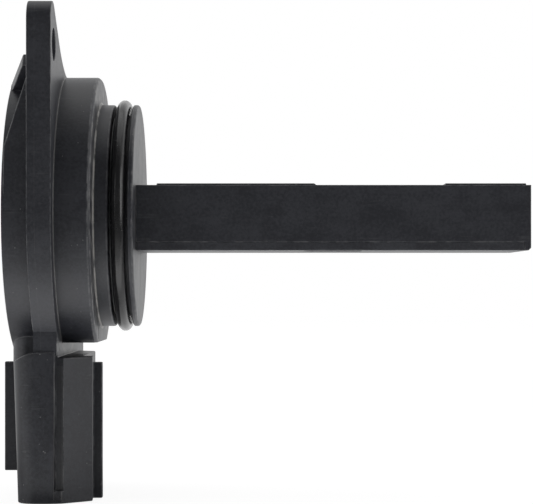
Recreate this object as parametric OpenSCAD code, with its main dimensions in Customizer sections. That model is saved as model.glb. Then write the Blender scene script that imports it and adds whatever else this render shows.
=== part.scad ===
// Plug-in mass air flow sensor, in millimetres.
// X runs along the probe, away from the flange. Z is up, and the connector hangs down.
// The origin is on the pilot's axis, at the flange's seating face.

/* [Flange] */
// Thickness of the flange plate
flange_t = 3.6; // [3:0.1:5]
// Radius of the flange's round lobes, and reach of the ears' straight sides
flange_r = 24; // [23:0.1:26]
// Half height of the flange between its ears
flange_half_h = 21.4; // [20.5:0.1:22]
// Height of an ear's tip above the axis
ear_top = 30.6; // [29.5:0.1:33]
// Radius of an ear's outer corner
ear_corner_r = 3; // [1.5:0.1:4]
// Slope of an ear's inner side, in degrees
ear_slope = 34; // [28:1:40]
// Radius of the blend at the foot of that side
ear_root_r = 25; // [10:1:30]
// Sideways distance from the axis to a screw hole
bolt_y = 19.9; // [19:0.1:20.5]
// Height of a screw hole above the axis
bolt_z = 24.4; // [23.5:0.1:25.5]
// Diameter of a screw hole
bolt_d = 4.8; // [4:0.1:5.5]

/* [Boss and pilot] */
// Radius of the boss behind the pilot
boss_r = 21.6; // [20.5:0.1:22.5]
// Length of the boss
boss_l = 5.4; // [4:0.1:7]
// Edge break on the boss
boss_chamfer = 0.4; // [0.2:0.1:0.8]
// Distance from the axis to the flat under the boss
boss_flat = 19.7; // [19.3:0.1:20.5]
// Radius of the pilot that fits the air duct
pilot_r = 17.35; // [16.5:0.05:19]
// Length of the pilot
pilot_l = 5.95; // [5.5:0.05:8]
// Length of the pilot's land before the seal groove
land_l = 2.25; // [1.5:0.05:2.5]
// Width of the seal groove
groove_w = 2.85; // [2.7:0.05:3.2]
// Depth of the seal groove
groove_depth = 1.65; // [1.4:0.05:1.9]
// Thickness of the seal ring
o_ring_d = 2.4; // [2:0.1:2.6]
// Edge break on the pilot
pilot_chamfer = 0.2; // [0.1:0.05:0.3]

/* [Back of the housing] */
// Radius of the round back wall
back_r = 21.9; // [21.5:0.1:22.8]
// How far the back wall stands behind the flange
back_l = 3.95; // [3.5:0.05:6]
// Radius of the circuit chamber
chamber_r = 18.6; // [17.8:0.1:19]
// How far the chamber reaches past the seating face
chamber_floor = 2.4; // [2:0.1:3]
// Radius of the step that takes the rear cover
seat_r = 20.3; // [19.8:0.1:20.6]
// Thickness of the rear cover
cover_t = 1.5; // [1:0.1:1.8]
// How far the rear cover lies inside the rim
cover_inset = 0.25; // [0.1:0.05:0.6]
// Width of the adhesive bead round the rear cover
bead_w = 0.7; // [0.4:0.1:1]
// Height of the wedge behind an ear's straight side
wedge_z = 20.2; // [19:0.1:21]
// How far that wedge falls towards the rear
wedge_drop = 11; // [9:0.1:13]
// Thickness of the rib along an ear's sloping side
rib_t = 2.2; // [1.5:0.1:2.6]
// How far the rib lies inside that side
rib_inset = 3.2; // [2.5:0.1:3.5]

/* [Connector] */
// Where the connector's back side is at its top
conn_back = -6.9; // [-7.2:0.1:-6.6]
// Where the connector's front side is
conn_front = 3; // [2.8:0.1:3.6]
// Where the front of the lug at the connector's near end is
lug_front = 4.95; // [4.5:0.05:5.5]
// How much the back side draws in towards the mouth
conn_draft = 0.8; // [0:0.1:1]
// Radius of the connector's crowned ends
conn_end_r = 8; // [7.5:0.1:9]
// Where the crown of the ends is highest
conn_crown = -2.2; // [-2.5:0.1:-1.9]
// Reach of the connector's ends from the middle
conn_reach = 16.4; // [16.2:0.1:17]
// Corner radius on the connector's back side
conn_corner_r = 3; // [2:0.1:3.5]
// Corner radius on the connector's front side
conn_edge_r = 0.5; // [0.3:0.1:1]
// Where the slanted face of the ends begins
slant_x = 0.75; // [0.5:0.05:1]
// Angle of the slanted face, in degrees
slant = 41; // [36:1:43]
// Height of the connector's shoulder
conn_top = -20.9; // [-21.2:0.1:-20.6]
// Radius of the shoulder towards the back side
shoulder_r = 7.6; // [6:0.1:9]
// Step down of the shoulder on the front side
conn_step = 0.85; // [0.5:0.05:1.2]
// Height of the connector's mouth
conn_mouth = -43.5; // [-47:0.1:-42]
// Wall round the socket
conn_wall = 1.1; // [0.9:0.1:1.3]
// Height of the socket's floor
socket_floor = -26; // [-28:0.1:-25]
// Where the socket's ends are, from the middle
socket_reach = 14; // [13:0.1:14.3]
// Where the keying groove on the connector's ends starts
key_x = -0.3; // [-0.6:0.1:0]
// Width of the keying groove
key_w = 1.2; // [0.8:0.05:1.5]
// Depth of the keying groove
key_depth = 0.9; // [0.5:0.1:1]
// Height where the keying groove ends
key_end = -41.6; // [-42:0.1:-38]
// Height of the rails' upper ends
rail_top = -22.7; // [-24:0.1:-22]
// Height where the back rails end
back_rail_end = -39.5; // [-41:0.1:-36]
// How far the back rails stand out
back_rail_h = 2.3; // [1.5:0.1:2.6]
// How far the front rail stands out past the lug
front_rail_h = 1.1; // [0.6:0.05:1.5]
// Where the near side of the front rail is, on the lug's inner end
front_rail_y = -8.2; // [-9:0.1:-5.5]
// Half distance over the back rails
rail_reach = 5.7; // [5:0.1:7]
// Thickness of a rail
rail_t = 1.5; // [1:0.1:2]
// Half depth of the neck between the back wall and the connector
neck_reach = 11.5; // [11:0.1:12.5]
// Corner radius of the neck
neck_r = 2.5; // [2:0.1:3]

/* [Terminals] */
// Distance between terminals
term_pitch = 4; // [3.6:0.1:4.2]
// Width of a terminal
term_w = 1.8; // [1.2:0.1:2]
// Thickness of a terminal
term_t = 0.64; // [0.5:0.02:0.66]
// Height of a terminal's inner end
term_top = -14.4; // [-14.8:0.1:-14.2]
// Height of a terminal's tip
term_tip = -37.6; // [-38.5:0.1:-35]

/* [Probe] */
// Length of the probe past the pilot
probe_l = 60.05; // [58:0.05:66]
// Width of the probe along the air flow
probe_w = 21; // [20.6:0.1:23]
// Height of the probe's upper face
probe_top = 4.3; // [4.2:0.1:5]
// Height of the joint between the probe and its lid
joint_z = -4.35; // [-4.8:0.05:-4.2]
// Thickness of the lid
lid_t = 1.3; // [1:0.05:1.5]
// Thickness of the lip at the tip that ends the lid
tip_lip = 0.95; // [0.8:0.05:1.5]
// Edge break under the tip
tip_bevel = 0.4; // [0.2:0.1:0.6]
// Thickness of the probe's walls
probe_wall = 1.4; // [1.1:0.1:1.6]
// Step of the probe's root, which is glued into the pilot
root_step = 0.8; // [0.5:0.1:1.2]
// Length of the probe's root
root_l = 3.6; // [2.5:0.1:4]
// Height of the raised plates on the probe's upper face
plate_h = 0.35; // [0.2:0.05:0.6]
// Distance from the pilot to the first raised plate
pad_from = 3.05; // [2:0.05:5]
// Length of the first raised plate
pad_l = 24.8; // [20:0.1:28]
// Half width of the raised plates
plate_half_w = 8.6; // [7.5:0.1:9]
// Length of the cover over the elements
window_cover_l = 12.4; // [11.5:0.1:13]
// Distance from the tip to that cover
window_cover_inset = 0.5; // [0.3:0.1:1]

/* [Air passage] */
// Width of the air inlet near the tip
inlet_w = 11; // [10:0.1:12]
// Wall between the inlet and the tip
inlet_wall = 3.4; // [2.5:0.1:4]
// Length of the passage from the inlet back to the outlet
passage_run = 21; // [16:0.1:24]
// Length of the outlet slot in the lid
outlet_l = 9; // [6:0.1:12]
// Radius of the bend at the tip
bend_r = 7; // [4:0.5:8]
// Number of hollows that lighten the probe's root end
hollows = 3; // [1:1:4]

/* [Circuit] */
// Thickness of the base plate
base_t = 1.5; // [1:0.1:1.6]
// Thickness of the ceramic board
board_t = 0.7; // [0.5:0.1:0.9]
// Width of the board
board_w = 22.8; // [20:0.1:23]
// Height of the board
board_h = 10.4; // [9:0.1:10.6]
// Distance from the terminals to the board
board_gap = 0.8; // [0.6:0.1:1]
// Thickness of the gel over the board
gel_t = 3.1; // [2.9:0.1:3.4]
// Thickness of a bond wire
wire_d = 0.3; // [0.2:0.05:0.4]

/* [Elements] */
// Height of the pins' plane
pin_z = -0.8; // [-1.2:0.1:-0.4]
// Width of a pin
pin_w = 0.7; // [0.5:0.05:0.8]
// Thickness of a pin
pin_t = 0.5; // [0.4:0.05:0.6]
// Distance between the two pins of an element
pair_w = 2.2; // [2:0.1:2.3]
// Distance between the pins of two neighbouring elements
pair_gap = 1; // [0.9:0.05:1.05]
// Distance between the thermistor's two pins
thermistor_w = 1.2; // [1:0.1:1.3]
// How far the pins reach into the inlet
pin_reach = 3.4; // [2.5:0.1:4.2]
// How far the pins stand out of their holder in the chamber
pin_stub = 1.3; // [1:0.1:1.5]
// Thickness of the holder's head in the chamber
head_t = 1.7; // [1.4:0.1:1.9]
// Diameter of an element's bobbin
bobbin_d = 0.7; // [0.5:0.05:0.9]
// Diameter of the thermistor's bead
bead_d = 1.5; // [1.2:0.1:1.7]

/* [Hidden] */
$fn = 96;
eps = 0.01;
// Gap of a glued or pushed-in fit
fit_gap = 0.05;

rear_x = -(flange_t + back_l);
cover_x = rear_x + cover_inset;
chamber_x = cover_x + cover_t;
pilot_x = boss_l + pilot_l;
root_x = pilot_x - root_l;
tip_x = pilot_x + probe_l;
inlet_x1 = tip_x - inlet_wall;
inlet_x0 = inlet_x1 - inlet_w;
outlet_x0 = inlet_x0 - passage_run;

// Plan of the probe: the tongue's channel lies on the inlet's side, the air's return on the other
near_y = -(probe_w / 2 - probe_wall);
pins_y0 = 0.9;
pin_ys = [
    pins_y0,
    pins_y0 + pair_w,
    pins_y0 + pair_w + pair_gap,
    pins_y0 + 2 * pair_w + pair_gap,
    pins_y0 + 2 * pair_w + 2 * pair_gap,
    pins_y0 + 2 * pair_w + 2 * pair_gap + thermistor_w
];
tongue_y0 = pin_ys[0] - 0.75;
tongue_y1 = pin_ys[5] + 0.75;
tongue_half_t = 1;
return_y1 = tongue_y0 - probe_wall;
passage_top = probe_top - 1.5;
wall_x0 = inlet_x0 - probe_wall;

// Circuit, from the chamber's floor towards the rear
board_x = chamber_floor - base_t - board_t;
board_z0 = term_top + board_gap;
board_z1 = board_z0 + board_h;
gel_x = board_x - gel_t;
term_x = (conn_back + conn_draft + conn_front) / 2;
term_y = [for (i = [-2:2]) i * term_pitch];
pin_end_x = chamber_floor - head_t - pin_stub;

black = [0.13, 0.13, 0.14];
tin = [0.75, 0.75, 0.72];

// Points of an arc about c, from angle a0 to a1
function arc(c, r, a0, a1, n = 10) = [
    for (i = [0:n]) c + r * [cos(a0 + (a1 - a0) * i / n), sin(a0 + (a1 - a0) * i / n)]
];

// A plan drawn in (Y, Z), given a length along X
module along_x(x0, length) {
    translate([x0, 0, 0]) rotate([90, 0, 90]) linear_extrude(length) children();
}

module disc_x(x0, length, r) {
    translate([x0, 0, 0]) rotate([0, 90, 0]) cylinder(h = length, r = r);
}

module block(x, y, z) {
    translate([x[0], y[0], z[0]]) cube([x[1] - x[0], y[1] - y[0], z[1] - z[0]]);
}

// The same form at both ears, half a turn apart about the pilot's axis
module both_ears() {
    children();
    rotate([180, 0, 0]) children();
}

// Flange outline. An ear's sloping side crosses its round corners a touch inside them, so that
// the two meet at a clear point
ear_tuck = 0.02;
ear_c = [-(flange_r - ear_corner_r), ear_top - ear_corner_r];
ear_n = [sin(ear_slope), cos(ear_slope)];
ear_d = [cos(ear_slope), -sin(ear_slope)];
ear_t = ear_c + (ear_corner_r - ear_tuck) * ear_n;
ear_run = (ear_t[1] - flange_half_h) / sin(ear_slope);
ear_foot = ear_t + ear_run * ear_d;
root_tan = ear_root_r * tan(ear_slope / 2);

module ear_outline() {
    polygon([
        [-flange_r, 0], [-flange_r, ear_c[1]], ear_c, ear_t, ear_foot, [ear_foot[0], 0]
    ]);
    translate(ear_c) circle(r = ear_corner_r);
    difference() {
        polygon([ear_foot - [0, eps], ear_foot - root_tan * ear_d, ear_foot + [root_tan, 0]]);
        translate([ear_foot[0] + root_tan, flange_half_h + ear_root_r]) {
            circle(r = ear_root_r + ear_tuck, $fn = 240);
        }
    }
}

module flange_outline() {
    intersection() {
        circle(r = flange_r);
        square([2 * flange_r, 2 * flange_half_h], center = true);
    }
    ear_outline();
    rotate(180) ear_outline();
}

// Stiffeners behind an ear: a wedge at its straight side and a rib along its sloping side
module ear_webs() {
    // The wedge's outer side lies just inside the round back wall's, so that the two cross
    wedge_reach = back_r - 0.1;
    wedge_x0 = rear_x + 0.4;
    intersection() {
        along_x(wedge_x0, -flange_t - wedge_x0 + eps) difference() {
            translate([-wedge_reach, 1]) square([back_r * 0.55, wedge_z]);
            circle(r = back_r - 0.5);
        }
        rotate([90, 0, 0]) linear_extrude(back_r) polygon([
            [wedge_x0 - 1, 0], [0, 0], [0, wedge_z], [-flange_t, wedge_z],
            [wedge_x0, wedge_z - wedge_drop], [wedge_x0 - 1, wedge_z - wedge_drop]
        ]);
    }
    // The rib starts clear of the screw's head, and runs into the back wall just short of its rear face
    rib_near = 6.9;
    rib_rear = 13.4;
    rib_far = 16;
    rib_rise = 2.76;
    rib_x = rear_x + 0.1;
    translate([0, ear_t[0], ear_t[1]]) rotate([-ear_slope, 0, 0]) {
        translate([0, 0, -rib_inset - rib_t]) linear_extrude(rib_t) polygon([
            [-flange_t + eps, rib_near], [rib_x + (rib_rear - rib_near) / rib_rise, rib_near],
            [rib_x, rib_rear], [rib_x, rib_far], [-flange_t + eps, rib_far]
        ]);
    }
}

// Pilot with its seal groove, turned about the X axis
module pilot() {
    floor_r = pilot_r - groove_depth;
    g0 = land_l;
    g1 = land_l + groove_w;
    c = pilot_chamfer;
    translate([boss_l, 0, 0]) rotate([0, 90, 0]) rotate_extrude() polygon([
        [0, -eps], [pilot_r, -eps], [pilot_r, g0 - c], [pilot_r - c, g0], [floor_r, g0],
        [floor_r, g1], [pilot_r - c / 2, g1], [pilot_r, g1 + c / 2],
        [pilot_r, pilot_l - c], [pilot_r - c, pilot_l], [0, pilot_l]
    ]);
}

// Outline of the connector's near end: round at the back, crowned, then slanted to the front
function conn_end(back, front) = let(
    mid = [conn_crown, conn_end_r - conn_reach],
    back_dx = back + conn_corner_r - mid[0],
    back_d = conn_end_r - conn_corner_r,
    back_c = mid + [back_dx, -sqrt(back_d * back_d - back_dx * back_dx)],
    back_a = 360 + atan2(back_c[1] - mid[1], back_dx),
    slant_a = 270 + asin((slant_x - mid[0]) / conn_end_r),
    slant_y = mid[1] + conn_end_r * sin(slant_a),
    edge_x = front - conn_edge_r,
    edge_y = slant_y + ((edge_x - slant_x) * sin(slant) + conn_edge_r) / cos(slant)
) concat(
    arc(back_c, conn_corner_r, 180, back_a, 8),
    arc(mid, conn_end_r, back_a, slant_a, 12),
    arc([edge_x, edge_y], conn_edge_r, 270 + slant, 360, 4)
);

// Plan of the connector before its front side is cut back to leave the lug at its near end
module conn_plan(back) {
    far = conn_end(back, conn_front + conn_edge_r / 2);
    polygon(concat(
        conn_end(back, lug_front),
        [for (i = [len(far) - 1:-1:0]) [far[i][0], -far[i][1]]]
    ));
}

module conn_body() {
    slice = 0.05;
    over = 1;
    span = 2 * conn_reach + 2;
    difference() {
        hull() {
            translate([0, 0, conn_mouth]) linear_extrude(slice) conn_plan(conn_back + conn_draft);
            translate([0, 0, conn_top + over - slice]) linear_extrude(slice) conn_plan(conn_back);
        }
        // Front side beyond the lug
        block([conn_front, lug_front + 1], [front_rail_y + rail_t / 2, span / 2],
            [conn_mouth - 1, conn_top + 2 * over]);
        // Lower shoulder on the front side
        block([0, lug_front + 1], [-span / 2, span / 2], [conn_top - conn_step, conn_top + 2 * over]);
        // Shoulder, flat to the crown and then rounded towards the back side
        translate([conn_crown, span / 2, conn_top]) rotate([90, 0, 0]) linear_extrude(span) difference() {
            translate([-2 * shoulder_r, -shoulder_r / 2]) square([4 * shoulder_r, shoulder_r]);
            translate([0, -shoulder_r]) {
                circle(r = shoulder_r, $fn = 240);
                square([3 * shoulder_r, shoulder_r]);
            }
        }
        // Keying grooves: the near one runs up to the shoulder, the far one ends below the ear
        for (m = [0, 1]) mirror([0, m, 0]) {
            block([key_x, key_x + key_w], [-conn_reach - 1, key_depth + 0.3 - conn_reach],
                [key_end, m == 0 ? conn_top + 2 * over : -ear_top - 0.5]);
        }
    }
}

// Rails that guide the mating plug, with the latch nose between the back pair
module conn_rails() {
    for (m = [0, 1]) mirror([0, m, 0]) {
        block([conn_back - back_rail_h, conn_back + 2], [-rail_reach, rail_t - rail_reach],
            [back_rail_end, rail_top]);
    }
    block([conn_front - 1, lug_front + front_rail_h], [front_rail_y, front_rail_y + rail_t],
        [conn_mouth, rail_top]);
    nose = rail_reach - rail_t - 1;
    translate([0, nose, 0]) rotate([90, 0, 0]) linear_extrude(2 * nose) polygon([
        [conn_back + 2, back_rail_end - 1], [conn_back + conn_draft, back_rail_end - 1],
        [conn_back - back_rail_h * 0.7, back_rail_end + 2.5],
        [conn_back - back_rail_h * 0.7, back_rail_end + 3.5], [conn_back + 2, back_rail_end + 3.5]
    ]);
}

module socket() {
    back = conn_back + conn_draft + conn_wall;
    front = conn_front - conn_wall;
    r = 2;
    translate([0, 0, conn_mouth - 1]) linear_extrude(socket_floor - conn_mouth + 1) {
        translate([back, -socket_reach + r]) square([front - back, 2 * socket_reach - 2 * r]);
        translate([back + r, -socket_reach]) square([front - back - 2 * r, 2 * socket_reach]);
        for (x = [back + r, front - r], y = [-socket_reach + r, socket_reach - r]) {
            translate([x, y]) circle(r = r, $fn = 48);
        }
    }
}

module housing_solid() {
    difference() {
        along_x(-flange_t, flange_t) flange_outline();
        both_ears() translate([0, -bolt_y, bolt_z]) disc_x(-flange_t - 1, flange_t + 2, bolt_d / 2);
    }
    both_ears() ear_webs();
    disc_x(rear_x, back_l + eps, back_r);
    difference() {
        union() {
            disc_x(-eps, boss_l - boss_chamfer + eps, boss_r);
            translate([boss_l - boss_chamfer, 0, 0]) rotate([0, 90, 0]) {
                cylinder(h = boss_chamfer, r1 = boss_r, r2 = boss_r - boss_chamfer);
            }
        }
        block([0, boss_l + 1], [-boss_r, boss_r], [-boss_r - 1, -boss_flat]);
    }
    pilot();
    neck();
    conn_body();
    conn_rails();
}

// Neck from the back wall down to the connector, with its rear corners rounded
module neck() {
    x0 = rear_x + 0.15;
    z0 = conn_top - conn_step - 1;
    h = -chamber_r + 4 - z0;
    block([x0 + neck_r, 0], [-neck_reach, neck_reach], [z0, z0 + h]);
    block([x0, 0], [neck_r - neck_reach, neck_reach - neck_r], [z0, z0 + h]);
    for (m = [0, 1]) mirror([0, m, 0]) translate([x0 + neck_r, neck_r - neck_reach, z0]) {
        cylinder(h = h, r = neck_r, $fn = 48);
    }
}

// Hollows above and below the probe's socket, which keep the pilot's walls even
module pilot_cores() {
    core_r = pilot_r - groove_depth - 1.5;
    core_end = pilot_x - 1.7;
    along_x(chamber_floor - eps, core_end - chamber_floor) difference() {
        circle(r = core_r);
        square([2 * core_r + 2, probe_top - joint_z + 3.6], center = true);
    }
}

module housing() {
    color(black) difference() {
        housing_solid();
        disc_x(rear_x - 1, chamber_x - rear_x + 1, seat_r);
        disc_x(rear_x, chamber_floor - rear_x, chamber_r);
        pilot_cores();
        probe_root(fit_gap, 1);
        block([chamber_floor - 1, root_x + 1],
            [tongue_y0 - fit_gap, tongue_y1 + fit_gap],
            [pin_z - tongue_half_t - fit_gap, pin_z + tongue_half_t + fit_gap]);
        socket();
        for (y = term_y) terminal_blade(y);
        // Small pocket on the boss face
        block([boss_l - 1, boss_l + 1], [-7.1, -6.5], [-19.1, -17]);
    }
}

// Root of the probe, grown by gap on its sides, with extra length past the pilot's face
module probe_root(gap, extra) {
    half_w = probe_w / 2 - root_step + gap;
    block([root_x - gap, pilot_x + extra], [-half_w, half_w],
        [joint_z + root_step - gap, probe_top - root_step + gap]);
}

module rear_cover() {
    r = seat_r - bead_w;
    color([0.16, 0.16, 0.17]) difference() {
        disc_x(cover_x, cover_t, r);
        disc_x(cover_x - 1, 1.4, r - 3);
        disc_x(cover_x + cover_t - 0.4, 1, chamber_r - 1.2);
    }
}

module cover_adhesive() {
    color([0.3, 0.3, 0.32]) difference() {
        disc_x(cover_x + 0.2, cover_t - 0.2, seat_r);
        disc_x(cover_x, cover_t + 1, seat_r - bead_w);
    }
}

module o_ring() {
    color([0.05, 0.05, 0.05]) translate([boss_l + land_l + groove_w / 2, 0, 0]) rotate([0, 90, 0]) {
        rotate_extrude() translate([pilot_r - groove_depth + o_ring_d / 2, 0]) {
            circle(r = o_ring_d / 2, $fn = 48);
        }
    }
}

// Air passage in plan: in at the inlet, round the bend, back along the near wall
module passage_plan() {
    far = probe_w / 2;
    lane = (return_y1 - near_y) / 2;
    difference() {
        translate([inlet_x0, near_y]) square([inlet_w, far - near_y + 1]);
        difference() {
            translate([inlet_x1 - bend_r, near_y - 1]) square([bend_r + 1, bend_r + 1]);
            translate([inlet_x1 - bend_r, near_y + bend_r]) circle(r = bend_r);
        }
    }
    translate([outlet_x0 + lane, near_y]) square([passage_run - lane + eps, 2 * lane]);
    translate([outlet_x0 + lane, near_y + lane]) circle(r = lane);
    // Flared mouth
    polygon([
        [inlet_x0, far - 1.5], [inlet_x0 - 0.9, far + eps],
        [inlet_x1 + 0.9, far + eps], [inlet_x1, far - 1.5]
    ]);
}

module window_cover_box(gap, z0, z1) {
    x1 = tip_x - window_cover_inset;
    block([x1 - window_cover_l - gap, x1 + gap], [-plate_half_w - gap, plate_half_w + gap], [z0, z1]);
}

module element_window(gap, z0, z1) {
    block([inlet_x0 + 0.8 - gap, inlet_x0 + 7 + gap],
        [tongue_y0 + 0.4 - gap, tongue_y1 - 0.4 + gap], [z0, z1]);
}

module probe_body() {
    half_w = probe_w / 2;
    hollow_pitch = (outlet_x0 - probe_wall - pilot_x - 1) / hollows;
    color(black) difference() {
        union() {
            block([pilot_x, tip_x], [-half_w, half_w], [joint_z, probe_top]);
            block([tip_x - tip_lip, tip_x], [-half_w, half_w], [joint_z - lid_t, joint_z + 1]);
            probe_root(0, eps);
            // Raised plate with a chamfered end
            translate([0, plate_half_w, 0]) rotate([90, 0, 0]) linear_extrude(2 * plate_half_w) {
                polygon([
                    [pilot_x + pad_from, probe_top - 1], [pilot_x + pad_from, probe_top + plate_h],
                    [pilot_x + pad_from + pad_l - 2 * plate_h, probe_top + plate_h],
                    [pilot_x + pad_from + pad_l, probe_top - 0.2],
                    [pilot_x + pad_from + pad_l, probe_top - 1]
                ]);
            }
        }
        // Channel of the tongue, from the chamber to the inlet
        block([root_x - 1, wall_x0], [tongue_y0 - fit_gap, tongue_y1 + fit_gap],
            [pin_z - tongue_half_t - fit_gap, passage_top]);
        block([pilot_x + 1, wall_x0], [tongue_y0 - fit_gap, tongue_y1 + fit_gap],
            [joint_z - 1, pin_z]);
        block([wall_x0 - 1, inlet_x0 + 1], [tongue_y0 - fit_gap, tongue_y1 + fit_gap],
            [pin_z - tongue_half_t - fit_gap, pin_z + tongue_half_t + fit_gap]);
        translate([0, 0, joint_z]) linear_extrude(passage_top - joint_z) passage_plan();
        for (i = [0:hollows - 1]) {
            x = pilot_x + 1 + i * hollow_pitch;
            block([x, x + hollow_pitch - probe_wall], [near_y, return_y1], [joint_z - 1, passage_top]);
        }
        window_cover_box(fit_gap, probe_top - 0.6, probe_top + 1);
        element_window(fit_gap, 0, probe_top + 1);
        // Broken lower corner at the tip
        translate([tip_x, 0, joint_z - lid_t]) rotate([0, 45, 0]) {
            cube([tip_bevel * sqrt(2), probe_w + 2, tip_bevel * sqrt(2)], center = true);
        }
    }
}

module bypass_cover() {
    half_w = probe_w / 2;
    outlet_r = 1.5;
    color([0.15, 0.15, 0.16]) {
        difference() {
            block([pilot_x + fit_gap, tip_x - tip_lip - fit_gap], [-half_w, half_w],
                [joint_z - lid_t, joint_z]);
            hull() for (x = [outlet_x0 + 1 + outlet_r, outlet_x0 + 1 + outlet_l - outlet_r],
                        y = [near_y + 0.5 + outlet_r, return_y1 - 0.5 - outlet_r]) {
                translate([x, y, joint_z - lid_t - 1]) cylinder(h = lid_t + 2, r = outlet_r, $fn = 32);
            }
        }
        // Locating rib that drops into the tongue's channel
        difference() {
            block([pilot_x + 1.2, wall_x0 - 0.2], [tongue_y0 + 0.1, tongue_y1 - 0.1],
                [joint_z - eps, joint_z + 0.8]);
            block([pilot_x + 2.2, wall_x0 - 1.2], [tongue_y0 + 1.1, tongue_y1 - 1.1],
                [joint_z, joint_z + 1]);
        }
    }
}

module element_cover() {
    color([0.15, 0.15, 0.16]) {
        window_cover_box(0, probe_top - 0.6, probe_top + plate_h);
        element_window(0, passage_top, probe_top - 0.6 + eps);
    }
}

module base_plate() {
    margin = 0.4;
    color("silver") difference() {
        block([chamber_floor - base_t, chamber_floor],
            [-board_w / 2 - margin, board_w / 2 + margin], [board_z0 - margin, board_z1 + margin]);
        for (y = [-1, 1]) translate([0, y * (board_w / 2 - 1.2), board_z1 + margin]) {
            disc_x(chamber_floor - base_t - 1, base_t + 2, 0.8);
        }
    }
}

module circuit_board() {
    color("ivory") block([board_x, board_x + board_t], [-board_w / 2, board_w / 2], [board_z0, board_z1]);
}

// A chip on the board: centre (y, z), size (w, h), thickness t
module on_board(y, z, w, h, t) {
    block([board_x - t, board_x], [y - w / 2, y + w / 2], [z - h / 2, z + h / 2]);
}

module control_chip() {
    color([0.1, 0.1, 0.1]) difference() {
        on_board(-1.5, board_z0 + 5.4, 5, 4.6, 1.1);
        translate([board_x - 1.2, -3.3, board_z0 + 7]) rotate([0, 90, 0]) cylinder(h = 0.3, r = 0.3, $fn = 24);
    }
}

module power_transistor() {
    color([0.12, 0.12, 0.13]) on_board(-8, board_z0 + 5.6, 3.8, 4.4, 1.3);
}

module capacitors() {
    color([0.72, 0.6, 0.42]) for (p = [[4, 3.2], [6.4, 3.2], [8.8, 3.2], [4.6, 7.6]]) {
        on_board(p[0], board_z0 + p[1], 1.3, 2.1, 0.9);
    }
}

module resistors() {
    color([0.2, 0.22, 0.25]) for (p = [[7, 7], [8.8, 7], [10.4, 7], [-4.9, 3], [-4.9, 7.6]]) {
        on_board(p[0], board_z0 + p[1], 0.8, 1.6, 0.45);
    }
}

// Loop of wire at y, from the board's pad at z0 to a contact at z1 whose face is at x
module wire_loop(y, z0, z1, x) {
    r = abs(z1 - z0) / 2;
    translate([x, y, (z0 + z1) / 2]) rotate([90, -90, 0]) rotate_extrude(angle = 180, $fn = 32) {
        translate([r, 0]) circle(d = wire_d, $fn = 16);
    }
    translate([x, y, z0]) rotate([0, 90, 0]) cylinder(h = board_x - x, d = wire_d, $fn = 16);
}

module bond_wires() {
    color("gold") {
        for (y = term_y) wire_loop(y, board_z0 + 0.6, term_top - 0.6, term_x - term_t / 2);
        for (y = pin_ys) wire_loop(y, board_z1 - 0.5, pin_z, pin_end_x);
    }
}

module potting_gel() {
    color([0.75, 0.8, 0.85, 0.5]) difference() {
        disc_x(gel_x, chamber_floor - gel_x, chamber_r);
        base_plate();
        circuit_board();
        control_chip();
        power_transistor();
        capacitors();
        resistors();
        bond_wires();
        for (y = term_y) terminal_blade(y);
        element_holder_solid();
        for (i = [0:5]) element_pin(i);
    }
}

module terminal_blade(y) {
    taper = 1.2;
    half = term_w / 2;
    translate([term_x - term_t / 2, 0, 0]) rotate([90, 0, 90]) linear_extrude(term_t) polygon([
        [y - half, term_top], [y + half, term_top], [y + half, term_tip + taper],
        [y + half / 2, term_tip], [y - half / 2, term_tip], [y - half, term_tip + taper]
    ]);
}

module terminal(i) {
    color(tin) terminal_blade(term_y[i - 1]);
}

module element_holder_solid() {
    block([chamber_floor, inlet_x0], [tongue_y0, tongue_y1], [pin_z - tongue_half_t, pin_z + tongue_half_t]);
    block([chamber_floor - head_t, chamber_floor], [tongue_y0 - 0.8, tongue_y1 + 0.8],
        [board_z1 + 0.6, pin_z + tongue_half_t + 0.8]);
}

module element_holder() {
    color([0.18, 0.18, 0.2]) difference() {
        element_holder_solid();
        for (i = [0:5]) element_pin(i);
    }
}

module element_pin(i) {
    block([pin_end_x, inlet_x0 + pin_reach], [pin_ys[i] - pin_w / 2, pin_ys[i] + pin_w / 2],
        [pin_z - pin_t / 2, pin_z + pin_t / 2]);
}

module pin_pair(i) {
    color(tin) {
        element_pin(i);
        element_pin(i + 1);
    }
}

// Wound bobbin between the tips of pins i and i + 1
module wound_element(i, x_in, turns, shade) {
    y0 = pin_ys[i] + pin_w / 2;
    y1 = pin_ys[i + 1] - pin_w / 2;
    translate([inlet_x0 + pin_reach - x_in, 0, pin_z]) rotate([-90, 0, 0]) {
        color(shade) translate([0, 0, y0]) cylinder(h = y1 - y0, d = bobbin_d, $fn = 32);
        color(tin) for (k = [1:turns]) translate([0, 0, y0 + (y1 - y0) * k / (turns + 1)]) {
            rotate_extrude($fn = 32) translate([bobbin_d / 2, 0]) circle(d = 0.08, $fn = 16);
        }
    }
}

module heater_pins() pin_pair(0);
module compensation_pins() pin_pair(2);
module thermistor_pins() pin_pair(4);
module hot_wire() wound_element(0, 0.5, 6, "white");
module cold_wire() wound_element(2, 0.5, 4, "white");

// Glass bead on two leads that stand on the last pins' tips
module air_thermistor() {
    x = inlet_x0 + pin_reach;
    y = (pin_ys[4] + pin_ys[5]) / 2;
    lead_l = bead_d;
    color([0.25, 0.1, 0.08]) {
        translate([x + lead_l, y, pin_z]) sphere(d = bead_d, $fn = 48);
        for (i = [4, 5]) translate([0, pin_ys[i], pin_z]) disc_x(x, lead_l, 0.15, $fn = 24);
    }
}

housing();
rear_cover();
cover_adhesive();
o_ring();
probe_body();
bypass_cover();
element_cover();
base_plate();
circuit_board();
control_chip();
power_transistor();
capacitors();
resistors();
bond_wires();
potting_gel();
terminal(1);  // terminal_1
terminal(2);  // terminal_2
terminal(3);  // terminal_3
terminal(4);  // terminal_4
terminal(5);  // terminal_5
element_holder();
heater_pins();
compensation_pins();
thermistor_pins();
hot_wire();
cold_wire();
air_thermistor();
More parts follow.
